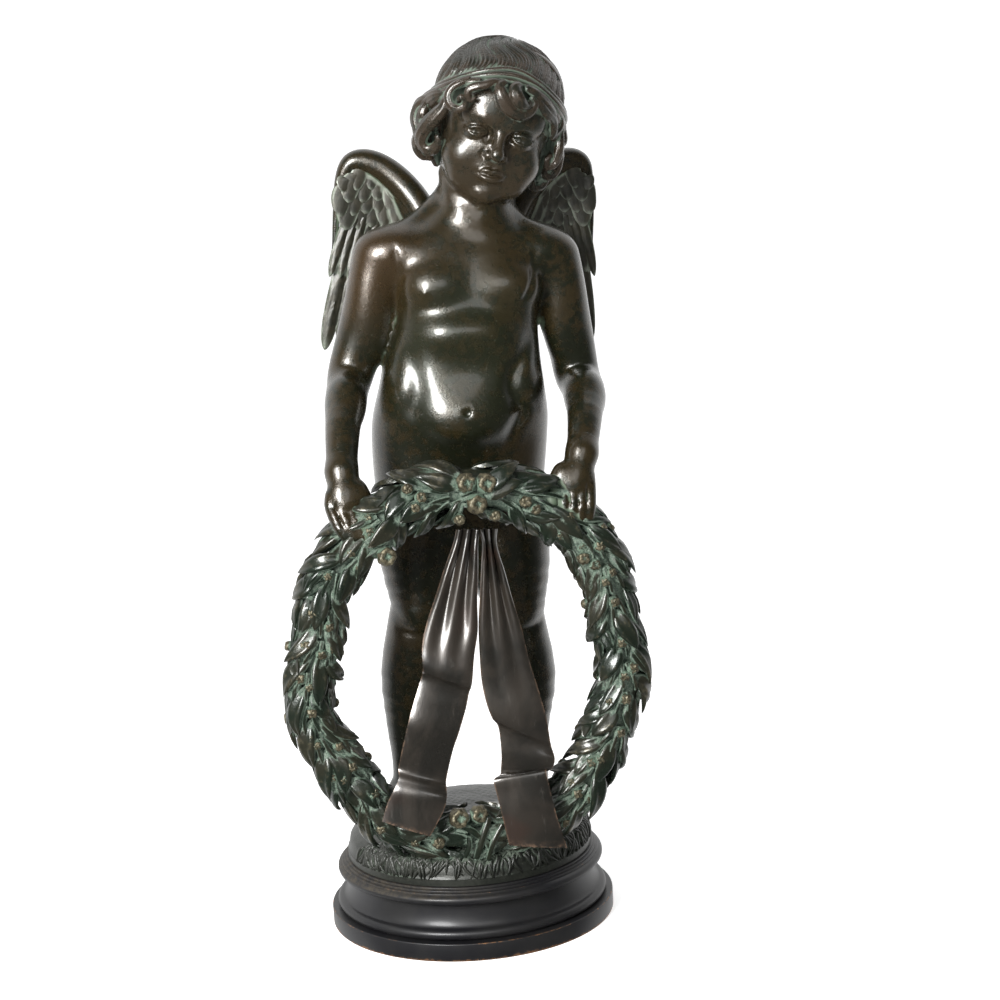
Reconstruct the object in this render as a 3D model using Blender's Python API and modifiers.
# A bronze cherub that stands on a grassy mound and holds a laurel wreath with two ribbon tails,
# on a turned socle. Metres, +Z up, the figure looks along -Y, the origin is at the middle of the
# socle's underside.
import math

import bmesh
import bpy
from mathutils import Matrix, Vector

# Driving dimensions
MOUND_RADIUS = 0.093
MOUND_HEIGHT = 0.030
MOUND_RIM_HEIGHT = 0.009
MOUND_SEGMENTS = 48
# The dome's radius at its rim as a share of the mound's, and how full its shoulder and top are
DOME_SHARE = 0.985
SHOULDER_POWER = 0.85
TOP_POWER = 0.75

SOCLE_HEIGHT = 0.052
SOCLE_FOOT_HEIGHT = 0.0135
SOCLE_BEAD_THICKNESS = 0.0064
SOCLE_STEP_RISE = 0.0018
SOCLE_STEPS = 3
SOCLE_SEGMENTS = 36
SEAT_MARGIN = 0.0017
FOOT_OVERHANG = 0.0065
WAIST_DEPTH = 0.008
# The small torus above the foot: its radius as a share of the hollow, and its setback in radii
TORUS_SHARE = 0.16
TORUS_SETBACK = 2.2

FIGURE_HEIGHT = 0.580
FIGURE_LEAN = math.radians(3.4)
SOLE_DEPTH = 0.002

WREATH_HALF_WIDTH = 0.112
WREATH_HALF_HEIGHT = 0.128
WREATH_CORE_RADIUS = 0.0145
WREATH_OFFSET_X = -0.010
# The ring stands this far inside the mound's rim
WREATH_SETBACK = 0.019
WREATH_SINK = 0.002
LEAF_LENGTH = 0.041
LEAF_WIDTH = 0.0175
LEAF_THICKNESS = 0.0072
LEAF_PITCH = 0.0260
BERRY_RADIUS = 0.0058
# The rosettes at the wreath's top, in berry radii
ROSETTE_SHARE = 1.45

RIBBON_THICKNESS = 0.0016
RIBBON_WIDTH = 0.037
RIBBON_NECK_WIDTH = 0.015
# How far the share 1 of the tables lies below a tail's start, in shares of the ring's half-height
RIBBON_FALL = 1.62

GAP = 0.0003
VOXEL = 0.0021
WREATH_VOXEL = 0.0015
FIGURE_FACES = 4690
WREATH_FACES = 2560

# The mound stands on the socle's top face inside a margin, and the mouldings follow from there
SOCLE_TOP_RADIUS = MOUND_RADIUS + SEAT_MARGIN
SOCLE_EDGE_RADIUS = SOCLE_TOP_RADIUS + (SOCLE_STEPS - 1) * SOCLE_STEP_RISE
SOCLE_BEAD_RADIUS = SOCLE_EDGE_RADIUS + SOCLE_BEAD_THICKNESS / 2
SOCLE_FOOT_RADIUS = SOCLE_BEAD_RADIUS + FOOT_OVERHANG
SOCLE_WAIST_RADIUS = SOCLE_BEAD_RADIUS - WAIST_DEPTH

WREATH_FRONT = MOUND_RADIUS - WREATH_SETBACK

# The figure is drawn in 580 parts from its soles to its crown, in its own upright frame
PART = FIGURE_HEIGHT / 580.0
MOUND_TOP = SOCLE_HEIGHT + MOUND_HEIGHT
SOLE_LEVEL = MOUND_TOP - SOLE_DEPTH
LEAN = (Matrix.Translation((0.0, 0.0, SOCLE_HEIGHT))
        @ Matrix.Rotation(FIGURE_LEAN, 4, 'Y')
        @ Matrix.Translation((0.0, 0.0, -SOCLE_HEIGHT)))


def clear_scene():
    """Removes every object, so that the script can be run again."""
    for obj in list(bpy.data.objects):
        bpy.data.objects.remove(obj, do_unlink=True)


def new_collection(name, hidden=False):
    group = bpy.data.collections.new(name)
    bpy.context.scene.collection.children.link(group)
    group.hide_render = hidden
    return group


def new_material(name, colour, roughness, metallic):
    """A Principled BSDF with one colour, roughness and metallic value."""
    material = bpy.data.materials.new(name)
    material.use_nodes = True
    shader = material.node_tree.nodes['Principled BSDF']
    shader.inputs['Base Color'].default_value = (*colour, 1.0)
    shader.inputs['Roughness'].default_value = roughness
    shader.inputs['Metallic'].default_value = metallic
    return material


def evaluated_mesh(obj):
    """The mesh of an object with its modifiers, as the viewport shows it."""
    bpy.context.view_layer.update()
    graph = bpy.context.evaluated_depsgraph_get()
    return bpy.data.meshes.new_from_object(obj.evaluated_get(graph))


def new_object(name, mesh, group, material=None):
    obj = bpy.data.objects.new(name, mesh)
    group.objects.link(obj)
    if material:
        mesh.materials.clear()
        mesh.materials.append(material)
    return obj


def smooth_shading(obj, angle=math.radians(38)):
    obj.data.shade_smooth()
    obj.data.set_sharp_from_angle(angle=angle)


def figure_point(x, y, z):
    """A point of the upright figure: x and y from its axis and z from its soles, in parts."""
    return Vector((x * PART, y * PART, SOLE_LEVEL + z * PART))


class Clay:
    """Overlapping closed lumps, which a remesh then makes one skin."""

    def __init__(self):
        self.lumps = []

    def keep(self, work):
        """Stores a finished lump and frees its working mesh."""
        mesh = bpy.data.meshes.new('lump')
        work.to_mesh(mesh)
        work.free()
        self.lumps.append(mesh)

    def ball(self, centre, radii, turn=None, segments=14, rings=9):
        """An ellipsoid with its half-axes, turned by a rotation matrix."""
        place = Matrix.Translation(centre) @ (turn.to_4x4() if turn else Matrix.Identity(4))
        place = place @ Matrix.Diagonal((*radii, 1.0))
        work = bmesh.new()
        bmesh.ops.create_uvsphere(work, u_segments=segments, v_segments=rings, radius=1.0,
                                  matrix=place)
        self.keep(work)

    def limb(self, points, radii, segments=12):
        """A chain of round cones through the points, with a ball at each of them."""
        for centre, radius in zip(points, radii):
            self.ball(centre, (radius, radius, radius), segments=segments, rings=8)
        for start, end, low, high in zip(points, points[1:], radii, radii[1:]):
            along = end - start
            turn = Vector((0, 0, 1)).rotation_difference(along).to_matrix().to_4x4()
            place = Matrix.Translation((start + end) / 2) @ turn
            work = bmesh.new()
            bmesh.ops.create_cone(work, cap_ends=True, segments=segments, radius1=low,
                                  radius2=high, depth=along.length, matrix=place)
            self.keep(work)

    def blade(self, base, tip, width, thickness, facing, blunt=0.0):
        """A flat lens from base to tip: a pointed leaf, or with blunt near 1 a round-ended feather.

        facing is the way its flat side looks.
        """
        along = tip - base
        side = along.normalized().cross(facing).normalized()
        out = side.cross(along.normalized())
        work = bmesh.new()
        bmesh.ops.create_uvsphere(work, u_segments=8, v_segments=8, radius=1.0)
        for vert in work.verts:
            x, y, z = vert.co
            girth = math.sqrt(max(0.0, 1.0 - z * z))
            fullness = 1.0 - 0.35 * abs(z) ** 3
            if blunt and girth > 0.0:
                fullness = 1.0 + blunt * (min(1.0 / girth, 2.2) - 1.0)
            vert.co = (base + along * (z + 1.0) / 2.0 + side * (x * width / 2 * fullness)
                       + out * (y * thickness / 2 * fullness))
        self.keep(work)

    def loft(self, sections, segments=20):
        """A closed body through level ellipses (centre, half-width, half-depth)."""
        work = bmesh.new()
        rings = []
        for centre, wide, deep in sections:
            ring = []
            for k in range(segments):
                angle = 2.0 * math.pi * k / segments
                offset = Vector((wide * math.cos(angle), deep * math.sin(angle), 0.0))
                ring.append(work.verts.new(centre + offset))
            rings.append(ring)
        for low, high in zip(rings, rings[1:]):
            for k in range(segments):
                j = (k + 1) % segments
                work.faces.new((low[k], low[j], high[j], high[k]))
        work.faces.new(list(reversed(rings[0])))
        work.faces.new(rings[-1])
        self.keep(work)

    def lean(self):
        """Turns every lump made so far by the figure's lean."""
        for lump in self.lumps:
            lump.transform(LEAN)

    def to_mesh(self, name):
        """All the lumps in one mesh, each still a closed body of its own."""
        work = bmesh.new()
        for lump in self.lumps:
            work.from_mesh(lump)
            bpy.data.meshes.remove(lump)
        mesh = bpy.data.meshes.new(name)
        work.to_mesh(mesh)
        work.free()
        return mesh


def one_skin(name, mesh, voxel, smoothing, faces, group):
    """One closed skin around overlapping lumps, thinned to about the number of triangles."""
    obj = new_object(name, mesh, group)
    remesh = obj.modifiers.new('one_skin', 'REMESH')
    remesh.mode = 'VOXEL'
    remesh.voxel_size = voxel
    smooth = obj.modifiers.new('soften', 'SMOOTH')
    smooth.factor = 0.5
    smooth.iterations = smoothing
    fine = evaluated_mesh(obj)
    fine.calc_loop_triangles()
    triangles = len(fine.loop_triangles)
    bpy.data.meshes.remove(fine)
    thin = obj.modifiers.new('thin', 'DECIMATE')
    thin.ratio = min(1.0, faces / triangles)
    thin.use_collapse_triangulate = True
    skin = largest_body(evaluated_mesh(obj))
    bpy.data.objects.remove(obj, do_unlink=True)
    return skin


def largest_body(mesh):
    """Keeps the largest connected body of a mesh and drops loose crumbs."""
    work = bmesh.new()
    work.from_mesh(mesh)
    seen = set()
    bodies = []
    for start in work.verts:
        if start in seen:
            continue
        seen.add(start)
        stack = [start]
        body = [start]
        while stack:
            vert = stack.pop()
            for edge in vert.link_edges:
                other = edge.other_vert(vert)
                if other not in seen:
                    seen.add(other)
                    stack.append(other)
                    body.append(other)
        bodies.append(body)
    bodies.sort(key=len, reverse=True)
    for body in bodies[1:]:
        bmesh.ops.delete(work, geom=body, context='VERTS')
    work.to_mesh(mesh)
    work.free()
    return mesh


def grown_copy(name, mesh, growth, group):
    """A copy of a closed mesh, pushed out along its normals, to cut a clearance with."""
    copy = mesh.copy()
    work = bmesh.new()
    work.from_mesh(copy)
    work.normal_update()
    for vert in work.verts:
        vert.co += vert.normal * growth
    work.to_mesh(copy)
    work.free()
    obj = new_object(name, copy, group)
    obj.hide_render = True
    obj.display_type = 'WIRE'
    return obj


def cut(obj, cutter):
    """Takes the cutter away from the object and keeps the largest body that is left."""
    boolean = obj.modifiers.new('clearance', 'BOOLEAN')
    boolean.operation = 'DIFFERENCE'
    boolean.solver = 'EXACT'
    boolean.object = cutter
    mesh = evaluated_mesh(obj)
    obj.modifiers.remove(boolean)
    work = bmesh.new()
    work.from_mesh(mesh)
    bmesh.ops.dissolve_degenerate(work, dist=1e-6, edges=work.edges)
    bmesh.ops.triangulate(work, faces=work.faces)
    work.to_mesh(mesh)
    work.free()
    obj.data = largest_body(mesh)


def cut_clearance(obj, solid, cutters):
    """Keeps an object clear of a solid, by a wide cut and a narrow one for the solid's creases."""
    for growth in (2.0 * GAP, 0.5 * GAP):
        cutter = grown_copy(solid.name + '_clearance', solid.data, growth, cutters)
        cut(obj, cutter)


# The socle

def arc(centre_r, centre_z, radius, start, end, count):
    """Points on an arc, angles in degrees from the outward direction, up positive."""
    points = []
    for k in range(count + 1):
        angle = math.radians(start + (end - start) * k / count)
        points.append((centre_r + radius * math.cos(angle), centre_z + radius * math.sin(angle)))
    return points


def socle_profile():
    """The turned outline from the top's middle down the outer side to the underside."""
    points = [(0.0, SOCLE_HEIGHT)]
    bead = SOCLE_BEAD_THICKNESS / 2
    bead_level = SOCLE_HEIGHT - SOCLE_STEPS * SOCLE_STEP_RISE - bead
    for k in range(SOCLE_STEPS):
        radius = SOCLE_TOP_RADIUS + k * SOCLE_STEP_RISE
        top = SOCLE_HEIGHT - k * SOCLE_STEP_RISE
        points += [(radius, top), (radius, top - SOCLE_STEP_RISE)]
    points += arc(SOCLE_EDGE_RADIUS, bead_level, bead, 70, -90, 4)
    hollow_top = bead_level - bead - SOCLE_STEP_RISE
    points += [(SOCLE_WAIST_RADIUS, hollow_top + SOCLE_STEP_RISE), (SOCLE_WAIST_RADIUS, hollow_top)]
    torus = TORUS_SHARE * (hollow_top - SOCLE_FOOT_HEIGHT)
    shelf = SOCLE_FOOT_HEIGHT + 2 * torus
    shelf_radius = SOCLE_FOOT_RADIUS - TORUS_SETBACK * torus
    run = shelf_radius - SOCLE_WAIST_RADIUS
    rise = hollow_top - shelf
    facets = 4
    for k in range(1, facets + 1):
        angle = math.radians(90.0 * k / facets)
        radius = SOCLE_WAIST_RADIUS + run * (1 - math.cos(angle))
        points.append((radius, hollow_top - rise * math.sin(angle)))
    points += arc(shelf_radius, SOCLE_FOOT_HEIGHT + torus, torus, 60, -90, 3)
    points += [(SOCLE_FOOT_RADIUS, SOCLE_FOOT_HEIGHT), (SOCLE_FOOT_RADIUS, 0.0), (0.0, 0.0)]
    return points


def turned_object(name, profile, segments, group):
    """An outline in the XZ plane, turned about Z by a Screw modifier."""
    mesh = bpy.data.meshes.new(name)
    edges = [(k, k + 1) for k in range(len(profile) - 1)]
    mesh.from_pydata([(r, 0.0, z) for r, z in profile], edges, [])
    obj = new_object(name, mesh, group)
    screw = obj.modifiers.new('turn', 'SCREW')
    screw.steps = segments
    screw.render_steps = segments
    screw.use_merge_vertices = True
    screw.merge_threshold = 0.00001
    screw.use_smooth_shade = True
    return obj


def make_socle(group, material):
    socle = turned_object('socle', socle_profile(), SOCLE_SEGMENTS, group)
    socle.data.materials.append(material)
    return socle


# The mound

def mound_profile():
    """A low dome with a steep rim, from its top down to below the socle's top face."""
    points = []
    rim = SOCLE_HEIGHT + MOUND_RIM_HEIGHT
    below = SOCLE_HEIGHT - MOUND_RIM_HEIGHT / 2
    shares = 8
    for k in range(shares + 1):
        angle = math.radians(90.0 * k / shares)
        radius = MOUND_RADIUS * DOME_SHARE * math.sin(angle) ** SHOULDER_POWER
        points.append((radius, rim + (MOUND_TOP - rim) * math.cos(angle) ** TOP_POWER))
    points += [(MOUND_RADIUS, SOCLE_HEIGHT + 0.3 * MOUND_RIM_HEIGHT), (MOUND_RADIUS, below), (0.0, below)]
    return points


def mound_height(radius):
    """The height of the mound's surface at a distance from its middle."""
    share = min(1.0, radius / (DOME_SHARE * MOUND_RADIUS)) ** (1 / SHOULDER_POWER)
    rim = SOCLE_HEIGHT + MOUND_RIM_HEIGHT
    return rim + (MOUND_TOP - rim) * math.sqrt(1 - share * share) ** TOP_POWER


# The wreath's ring

WREATH_CENTRE_Z = mound_height(WREATH_FRONT) - WREATH_SINK + WREATH_CORE_RADIUS + WREATH_HALF_HEIGHT
WREATH_ROUNDNESS = 2.12
WREATH_EGG = 0.06
WREATH_TOP_FULLNESS = 0.16


def ring_point(angle):
    """The middle of the wreath at an angle from its top, positive towards +X."""
    sine = math.sin(angle)
    cosine = math.cos(angle)
    power = 2.0 / WREATH_ROUNDNESS
    half_width = WREATH_HALF_WIDTH * (1.0 - WREATH_EGG * cosine)
    x = WREATH_OFFSET_X + half_width * math.copysign(abs(sine) ** power, sine)
    z = WREATH_CENTRE_Z + WREATH_HALF_HEIGHT * math.copysign(abs(cosine) ** power, cosine)
    return Vector((x, -WREATH_FRONT, z))


def ring_fullness(angle):
    """How much thicker the wreath is than its core's radius says, most at its top."""
    return 1.0 + WREATH_TOP_FULLNESS * max(0.0, math.cos(angle)) ** 3


def ring_frame(angle):
    """The ring's middle, the way it runs, its outward way and its front at an angle."""
    step = 0.01
    point = ring_point(angle)
    ahead = (ring_point(angle + step) - ring_point(angle - step)).normalized()
    front = Vector((0.0, -1.0, 0.0))
    outward = front.cross(ahead).normalized()
    if outward.dot(point - Vector((WREATH_OFFSET_X, -WREATH_FRONT, WREATH_CENTRE_Z))) < 0:
        outward = -outward
    return point, ahead, outward, front


# The figure

TORSO = (
    # level, middle x, middle y, half-width, half-depth
    (220, -5, 10, 52, 34),
    (236, -5.5, 9, 62, 42),
    (263, -6, 7, 64, 45),
    (292, -6, 4, 64.5, 45),
    (310, -5, 0, 62.5, 45),
    (330, -5, -4, 58, 44),
    (353, -4, -4, 54.5, 41),
    (378, -1.5, -2, 52, 39),
    (404, 0, 1, 53, 39),
    (424, 0, 4, 58, 36),
    (438, 0, 5, 53, 30),
    (450, 2, 6, 38, 25),
    (462, 5, 6, 25, 22),
)

LEGS = {
    # side: (point, radius) from the hip to the ankle
    'left': (((-36, 6, 232), 34), ((-38, 3, 196), 31), ((-36.5, 0, 166), 23.5), ((-38, 3, 150), 23),
             ((-43.5, 9, 108), 22.5), ((-46, 9, 70), 16.5), ((-45, 8, 40), 13.5), ((-44, 8, 20), 14)),
    'right': (((27, 6, 232), 34), ((30, 3, 194), 31), ((33, 0, 164), 23), ((34, 3, 148), 22.5),
              ((44, 9, 104), 22.5), ((47, 9, 68), 16.5), ((47, 8, 40), 13.5), ((46, 8, 20), 14)),
}

ARMS = {
    # side: the shoulder, the upper arm, the elbow and the forearm, before the wrist
    'left': (((-64, 3, 423), 20.5), ((-72, 4, 392), 19), ((-82, 7, 362), 17.5), ((-89, 7, 338), 17),
             ((-93, -14, 318), 16)),
    'right': (((63, 3, 421), 20.5), ((70, 4, 390), 19), ((77, 7, 360), 17.5), ((82, 7, 335), 17),
              ((84, -14, 314), 16)),
}
HAND_ANGLES = {'left': math.radians(-43), 'right': math.radians(37)}
WING_MIDDLE = 6.5
WING_SPLAY = {'left': 12.0, 'right': 1.0}
WING_TOP = 493.0
WING_TIP = 350.0

HEAD_CENTRE = (21, 0, 523)
HEAD_ROLL = math.radians(13)
HEAD_PITCH = math.radians(11)
HEAD_TURN = Matrix.Rotation(HEAD_ROLL, 3, 'Y') @ Matrix.Rotation(HEAD_PITCH, 3, 'X')


def head_point(x, y, z):
    """A point of the head in parts, in the head's own frame, whose face looks along -Y."""
    return figure_point(*HEAD_CENTRE) + HEAD_TURN @ (Vector((x, y, z)) * PART)


def add_torso(clay):
    clay.loft([(figure_point(x, y, z), wide * PART, deep * PART) for z, x, y, wide, deep in TORSO])
    for x, y, z, wide, deep, high in (
            (-34, 21, 258, 32, 28, 36), (24, 21, 260, 32, 28, 36),
            (-5, -16, 312, 46, 39, 40), (-5, -11, 345, 44, 35, 36),
            (-24, -15, 400, 27, 19, 22), (24, -15, 398, 27, 19, 22),
            (-34, 22, 414, 24, 18, 28), (34, 22, 412, 24, 18, 28),
            (-48, -2, 428, 24, 20, 17), (48, -2, 426, 24, 20, 17)):
        clay.ball(figure_point(x, y, z), (wide * PART, deep * PART, high * PART))


def sole_shift(x, y):
    """How far a foot at x, y lies above the sole level, in parts, to meet the mound after the lean."""
    upright = figure_point(x, y, 0)
    leaned = LEAN @ upright
    ground = mound_height(math.hypot(leaned.x, leaned.y)) - SOLE_DEPTH
    return (ground - leaned.z) / PART


def add_leg(clay, side):
    outward = -1.0 if side == 'left' else 1.0
    (x, y, low), _ = LEGS[side][-1]
    sole = sole_shift(x, y - 12)
    points = [figure_point(*point) for point, _ in LEGS[side]]
    points[-1] = figure_point(x, y, low + sole)
    clay.limb(points, [radius * PART for _, radius in LEGS[side]])
    heel = figure_point(x, y + 14, 11 + sole)
    instep = figure_point(x + outward * 3, y - 8, 14 + sole)
    ball = figure_point(x + outward * 9, y - 38, 9 + sole)
    clay.limb([heel, instep, ball], [11.5 * PART, 13.5 * PART, 9.5 * PART])
    clay.limb([ball, figure_point(x + outward * 1, y - 50, 7 + sole)], [9.5 * PART, 6.5 * PART])
    for k in range(5):
        spread = outward * (3 + 5.4 * k)
        reach = 56 - 3.5 * k
        clay.ball(figure_point(x + spread, y - reach, 6 + sole), (3.6 * PART, 6.5 * PART, 4.6 * PART),
                  segments=8, rings=6)


def add_arm(clay, side):
    outward = -1.0 if side == 'left' else 1.0
    ring, _, out, front = ring_frame(HAND_ANGLES[side])
    knuckles = ring + out * (WREATH_CORE_RADIUS + 0.6 * LEAF_THICKNESS) - front * 3 * PART
    points = [figure_point(*point) for point, _ in ARMS[side]]
    radii = [radius * PART for _, radius in ARMS[side]]
    wrist = knuckles + Vector((-outward * 1.0, 9.0, 28.0)) * PART
    palm = knuckles + Vector((-outward * 1.0, 2.0, 10.0)) * PART
    clay.limb(points + [wrist], radii + [11.5 * PART])
    clay.limb([wrist, palm], [11.5 * PART, 10.5 * PART])
    clay.ball(palm, (15 * PART, 9.5 * PART, 15 * PART))
    for k in range(4):
        bow = Vector((outward * (11.0 - 6.6 * k), 0.8 * abs(k - 1.5) - 3.0, 4.0 - 1.4 * abs(k - 1.3)))
        root = palm + bow * PART
        bend = root + Vector((outward * 1.0, -5.5, -13.0)) * PART
        tip = bend + Vector((-outward * 2.0, 1.5, -12.0)) * PART
        clay.limb([root, bend, tip], [4.8 * PART, 4.6 * PART, 4.0 * PART], segments=8)
    thumb = palm + Vector((-outward * 12.0, 1.0, 4.0)) * PART
    thumb_tip = thumb + Vector((-outward * 5.0, -6.0, -12.0)) * PART
    clay.limb([thumb, thumb_tip], [5.6 * PART, 4.4 * PART], segments=8)


def add_head(clay):
    neck = [figure_point(5, 8, 448), figure_point(8, 5, 468), head_point(0, 8, -30)]
    clay.limb(neck, [27 * PART, 23 * PART, 24 * PART])
    for centre, radii in (
            ((0, 8, 14), (46.5, 53, 45)),
            ((0, -7, -18), (37, 38, 42)),
            ((-17, -25, -26), (19, 17, 20)), ((17, -25, -26), (19, 17, 20)),
            ((0, -34, -47), (13, 11, 10)),
            ((0, -33, 12), (31, 14, 20)),
            ((0, -47.5, -13), (5.6, 6.0, 5.4)),
            ((0, -43, -4), (3.8, 5, 11)),
            ((0, -42.5, -29), (10, 5.5, 4.6)),
            ((-14, -38.5, -2), (7.5, 5.5, 5.0)), ((14, -38.5, -2), (7.5, 5.5, 5.0))):
        clay.ball(head_point(*centre), [r * PART for r in radii], HEAD_TURN)
    add_hair(clay)


def add_hair(clay):
    """The band, the cap of combed hair above it and the curls below it."""
    cords = 28
    for low in (0.0, 3.8):
        points = []
        for k in range(cords + 1):
            angle = 2.0 * math.pi * k / cords
            y = 6 - 53.5 * math.cos(angle)
            x = 48.5 * math.sin(angle)
            z = 8 + 27 * math.cos(angle) + 4 * math.cos(2 * angle) - low
            points.append(head_point(x, y, z))
        clay.limb(points, [2.8 * PART] * len(points), segments=6)
    locks = 18
    for k in range(locks):
        angle = 2.0 * math.pi * (k + 0.5) / locks
        start = head_point(0, 14, 57)
        middle = head_point(29 * math.sin(angle), 10 - 33 * math.cos(angle), 46 + 4 * math.cos(angle))
        end = head_point(44 * math.sin(angle), 8 - 48 * math.cos(angle), 14 + 24 * math.cos(angle))
        clay.limb([start, middle, end], [3.0 * PART, 4.2 * PART, 3.4 * PART], segments=6)
    for centre, radius, thick, spin in CURLS:
        add_curl(clay, head_point(*centre), radius * PART, thick * PART, spin)


CURLS = (
    # middle, curl radius, strand radius and the direction its open side looks, in degrees
    ((22, -41, 22), 8.5, 4.6, 0), ((37, -30, 14), 8, 4.6, 40), ((-24, -41, 23), 6.5, 3.8, 0),
    ((-36, -33, 14), 6.5, 4.2, -40), ((-8, -47, 31), 4.5, 3.2, 0),
    ((-50, -8, -8), 11, 6.5, -80), ((-46, -12, -28), 9, 5.5, -70), ((-53, 8, -20), 10, 6.5, -95),
    ((48, -14, -6), 8, 5.2, 75), ((47, -6, -24), 9.5, 5.6, 80), ((44, 2, -42), 9, 5.2, 85),
    ((52, 8, -14), 8, 5.4, 90), ((-40, 12, -44), 9.5, 5.6, -110), ((-30, 34, -40), 11, 6.5, -150),
    ((0, 44, -38), 12, 7, 180), ((30, 36, -40), 11, 6.5, 150), ((16, 52, -18), 11, 6.5, 170),
    ((-16, 52, -18), 11, 6.5, -170), ((42, 30, -22), 11, 6.5, 125), ((-44, 28, -22), 11, 6.5, -125),
)


def add_curl(clay, middle, radius, thick, spin):
    """A lock that winds once and a bit about an axis that looks out of the head."""
    turn = Matrix.Rotation(math.radians(spin), 3, 'Z')
    points = []
    radii = []
    count = 9
    for k in range(count):
        share = k / (count - 1)
        angle = math.radians(90 + 430 * share)
        reach = radius * (1.0 - 0.6 * share)
        local = Vector((reach * math.cos(angle), -radius * 0.55 * share, reach * math.sin(angle)))
        points.append(middle + HEAD_TURN @ (turn @ local))
        radii.append(thick * (1.0 - 0.35 * share))
    clay.limb(points, radii, segments=6)


def wing_point(side, away, back, level):
    """A point of a wing: its distance from the middle between the wings, depth and level."""
    outward = -1.0 if side == 'left' else 1.0
    low = (WING_TOP - level) / (WING_TOP - WING_TIP)
    return figure_point(WING_MIDDLE + outward * (away + WING_SPLAY[side] * low * away / 100.0), back, level)


WING_EDGE = (
    # away, back, level and radius along the thick front edge, from the shoulder blade to the side
    (20, 28, 418, 9), (26, 40, 456, 9), (40, 50, 478, 8.5), (57, 56, 489, 8.5), (73, 59, 493, 8),
    (85, 60, 486, 7), (91, 60, 470, 5.5), (92, 59, 448, 4.5), (92.5, 58, 424, 3.5),
)
FEATHER_TIERS = (
    # feathers, level of the tips inner and outer, depth, width, thickness
    (8, 388, 350, 55, 20, 6.5),
    (8, 416, 405, 56, 19, 7),
    (8, 440, 432, 57, 18, 7.5),
    (8, 460, 452, 58, 17, 8),
)


def wing_edge_level(away):
    """The level of the wing's front edge at a distance from the middle between the wings."""
    for (near, _, low, _), (far, _, high, _) in zip(WING_EDGE, WING_EDGE[1:5]):
        if away <= far:
            return low + (high - low) * (away - near) / (far - near)
    return WING_EDGE[4][2] - 0.35 * (away - WING_EDGE[4][0])


def add_wing(clay, side):
    """A thick rounded front edge and tiers of overlapping feathers below it."""
    points = [wing_point(side, *place) for *place, _ in WING_EDGE]
    clay.limb(points, [radius * PART for *_, radius in WING_EDGE], segments=10)
    clay.limb([wing_point(side, 22, 32, 420), wing_point(side, 50, 50, 455)], [10 * PART, 7 * PART])
    back = Vector((0.0, 1.0, 0.0))
    for count, inner_level, outer_level, depth, width, thick in FEATHER_TIERS:
        for k in range(count):
            share = k / (count - 1)
            away = 28 + (86 - 28) * share
            tip_away = 31 + (90 - 31) * share
            tip_level = inner_level + (outer_level - inner_level) * share
            bow = 5 * math.sin(math.pi * share) - 12 * (1 - share) ** 2
            base_level = max(wing_edge_level(away) - 6, tip_level + 22)
            base = wing_point(side, away, depth + bow, base_level)
            tip = wing_point(side, tip_away, depth + bow, tip_level)
            clay.blade(base, tip, width * PART, thick * PART, back, blunt=0.8)


def make_cherub(group, cutters, material):
    clay = Clay()
    add_torso(clay)
    add_head(clay)
    for side in ('left', 'right'):
        add_leg(clay, side)
        add_arm(clay, side)
        add_wing(clay, side)
    clay.lean()
    mound = turned_object('mound', mound_profile(), MOUND_SEGMENTS, cutters)
    clay.lumps.append(evaluated_mesh(mound))
    bpy.data.objects.remove(mound, do_unlink=True)
    skin = one_skin('figure_clay', clay.to_mesh('figure_clay'), VOXEL, 3, FIGURE_FACES, cutters)
    cherub = new_object('cherub', skin, group, material)
    below = bmesh.new()
    span = 4 * MOUND_RADIUS
    depth = SOCLE_HEIGHT + 2 * GAP
    place = Matrix.Translation((0.0, 0.0, SOCLE_HEIGHT + GAP - depth / 2))
    bmesh.ops.create_cube(below, size=1.0, matrix=place @ Matrix.Diagonal((span, span, depth, 1.0)))
    mesh = bpy.data.meshes.new('below_mound')
    below.to_mesh(mesh)
    below.free()
    cutter = new_object('below_mound', mesh, cutters)
    cutter.hide_render = True
    cutter.display_type = 'WIRE'
    cut(cherub, cutter)
    smooth_shading(cherub)
    return cherub


# The wreath

def half_ring_angles(pitch):
    """Angles from the wreath's top to its bottom, a pitch apart along the ring."""
    angles = []
    angle = math.radians(9)
    while angle < math.radians(176):
        angles.append(angle)
        step = 0.002
        speed = (ring_point(angle + step) - ring_point(angle - step)).length / (2 * step)
        angle += pitch / speed
    return angles


def make_wreath(group, cutters, cherub, material):
    clay = Clay()
    count = 56
    angles = [2.0 * math.pi * k / count for k in range(count + 1)]
    clay.limb([ring_point(angle) for angle in angles],
              [WREATH_CORE_RADIUS * ring_fullness(angle) for angle in angles], segments=12)
    for direction in (-1.0, 1.0):
        for row, angle in enumerate(half_ring_angles(LEAF_PITCH)):
            add_leaf_whorl(clay, direction * angle, direction, row)
    top, _, _, front = ring_frame(0.0)
    rosette = ROSETTE_SHARE * BERRY_RADIUS
    face = top + front * (WREATH_CORE_RADIUS * ring_fullness(0.0) + 0.6 * BERRY_RADIUS)
    for aside, above in ((-1.07, 1.66), (1.07, 1.66), (0.0, -0.36)):
        clay.ball(face + Vector((aside, 0.0, above)) * rosette, [rosette] * 3, segments=10, rings=7)
    clay.lean()
    skin = one_skin('wreath_clay', clay.to_mesh('wreath_clay'), WREATH_VOXEL, 1, WREATH_FACES, cutters)
    wreath = new_object('laurel_wreath', skin, group, material)
    cut_clearance(wreath, cherub, cutters)
    smooth_shading(wreath)
    return wreath


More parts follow.
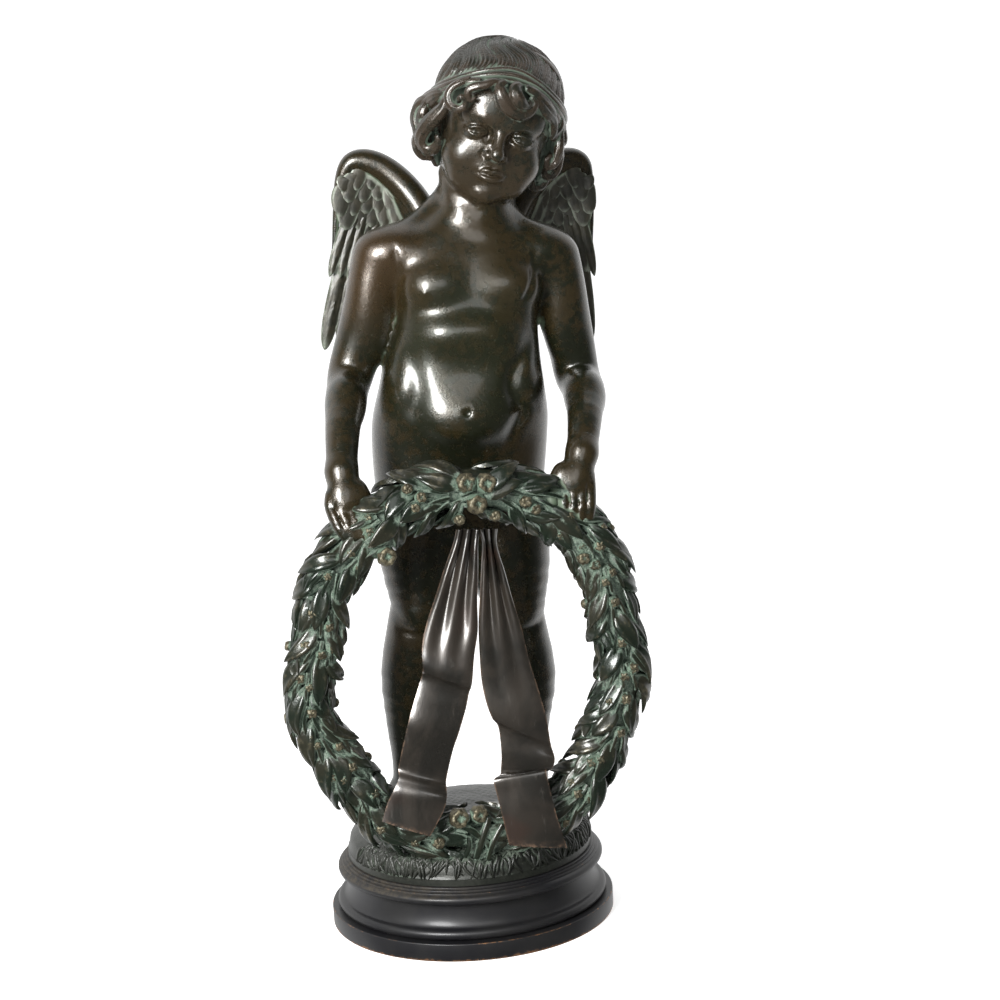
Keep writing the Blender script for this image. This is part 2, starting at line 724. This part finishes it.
def add_leaf_whorl(clay, angle, direction, row):
    """Leaves around the ring at one place, pointing away from the top, and two berries."""
    point, ahead, outward, front = ring_frame(angle)
    ahead = ahead * direction
    core = WREATH_CORE_RADIUS * ring_fullness(angle)
    around = 6
    for k in range(around):
        turn = 2.0 * math.pi * (k + 0.5 * (row % 2)) / around
        spoke = outward * math.cos(turn) + front * math.sin(turn)
        base = point + spoke * (core - 0.3 * LEAF_THICKNESS) - ahead * 0.25 * LEAF_LENGTH
        tip = point + spoke * (core + 0.8 * LEAF_THICKNESS) + ahead * 0.75 * LEAF_LENGTH
        clay.blade(base, tip, LEAF_WIDTH, LEAF_THICKNESS, spoke, blunt=0.15)
    for k in range(2):
        turn = math.radians(50 + 80 * k + 25 * (row % 3))
        spoke = outward * math.cos(turn) + front * math.sin(turn)
        centre = point + spoke * (core + 0.9 * BERRY_RADIUS) + ahead * 0.3 * LEAF_LENGTH
        clay.ball(centre, [BERRY_RADIUS] * 3, segments=8, rings=6)


# The ribbon tails

RIBBONS = {
    # along: share of the way down, sideways and forward places in shares of the ring's half-height,
    # width share and pleat share
    'left': ((0.00, -0.045, 0.00, 0.0, 1.0), (0.16, -0.085, 0.05, 0.25, 0.8),
             (0.34, -0.125, 0.10, 0.75, 0.5), (0.50, -0.155, 0.13, 1.05, 0.15),
             (0.62, -0.17, 0.16, 1.02, 0.0), (0.68, -0.20, 0.10, 1.04, 0.0),
             (0.78, -0.26, 0.16, 1.06, 0.0), (0.90, -0.31, 0.13, 1.04, 0.0),
             (1.00, -0.34, 0.20, 1.05, 0.0), (1.04, -0.36, 0.23, 1.05, 0.0),
             (1.12, -0.42, 0.17, 1.05, 0.0)),
    'right': ((0.00, 0.045, 0.00, 0.0, 1.0), (0.16, 0.075, 0.05, 0.2, 0.8),
              (0.34, 0.11, 0.10, 0.65, 0.5), (0.50, 0.15, 0.13, 0.95, 0.2),
              (0.66, 0.21, 0.15, 1.08, 0.0), (0.76, 0.26, 0.13, 1.1, 0.0),
              (0.82, 0.29, 0.10, 1.12, 0.0), (0.90, 0.30, 0.14, 1.14, 0.0),
              (0.955, 0.29, 0.11, 1.14, 0.0), (0.975, 0.28, 0.17, 1.16, 0.0),
              (1.04, 0.32, 0.24, 1.16, 0.0), (1.10, 0.36, 0.26, 1.16, 0.0)),
}


def make_ribbon(side, group, cutters, solids, material):
    """A thin strip of sheet metal, pleated under the wreath's top and folded lower down."""
    start = ring_point(0.0) - Vector((0.0, 0.0, WREATH_CORE_RADIUS + 1.9 * LEAF_THICKNESS))
    half = WREATH_HALF_HEIGHT
    across = 4
    rows = []
    for share, aside, ahead, wide, pleat in RIBBONS[side]:
        middle = start + Vector((aside * half, -ahead * half, -share * RIBBON_FALL * half))
        width = RIBBON_NECK_WIDTH + (RIBBON_WIDTH - RIBBON_NECK_WIDTH) * wide
        row = []
        for k in range(across + 1):
            place = k / across - 0.5
            fold = 0.0035 * pleat * math.cos(2.0 * math.pi * 2 * place)
            row.append(middle + Vector((place * width, -fold, -0.10 * width * abs(place) * (1 - pleat))))
        rows.append(row)
    verts = [tuple(LEAN @ point) for row in rows for point in row]
    stride = across + 1
    faces = []
    for i in range(len(rows) - 1):
        for k in range(across):
            a = i * stride + k
            faces.append((a, a + stride, a + stride + 1, a + 1))
    name = 'ribbon_tail_' + side
    mesh = bpy.data.meshes.new(name)
    mesh.from_pydata(verts, [], faces)
    ribbon = new_object(name, mesh, group, material)
    wall = ribbon.modifiers.new('sheet', 'SOLIDIFY')
    wall.thickness = RIBBON_THICKNESS
    wall.offset = 0.0
    wall.use_even_offset = True
    ribbon.data = evaluated_mesh(ribbon)
    ribbon.modifiers.clear()
    for solid in solids:
        cut_clearance(ribbon, solid, cutters)
    smooth_shading(ribbon)
    return ribbon


def main():
    clear_scene()
    parts = new_collection('cherub_with_garland')
    cutters = new_collection('cutters', hidden=True)
    bronze = new_material('dark_bronze', (0.055, 0.047, 0.03), 0.3, 0.9)
    verdigris = new_material('verdigris_bronze', (0.07, 0.085, 0.06), 0.42, 0.8)
    copper = new_material('brown_sheet_bronze', (0.085, 0.05, 0.035), 0.34, 0.9)
    black = new_material('black_satin', (0.016, 0.015, 0.014), 0.35, 0.3)
    make_socle(parts, black)
    cherub = make_cherub(parts, cutters, bronze)
    wreath = make_wreath(parts, cutters, cherub, verdigris)
    left = make_ribbon('left', parts, cutters, (cherub, wreath), copper)
    make_ribbon('right', parts, cutters, (cherub, wreath, left), copper)


main()
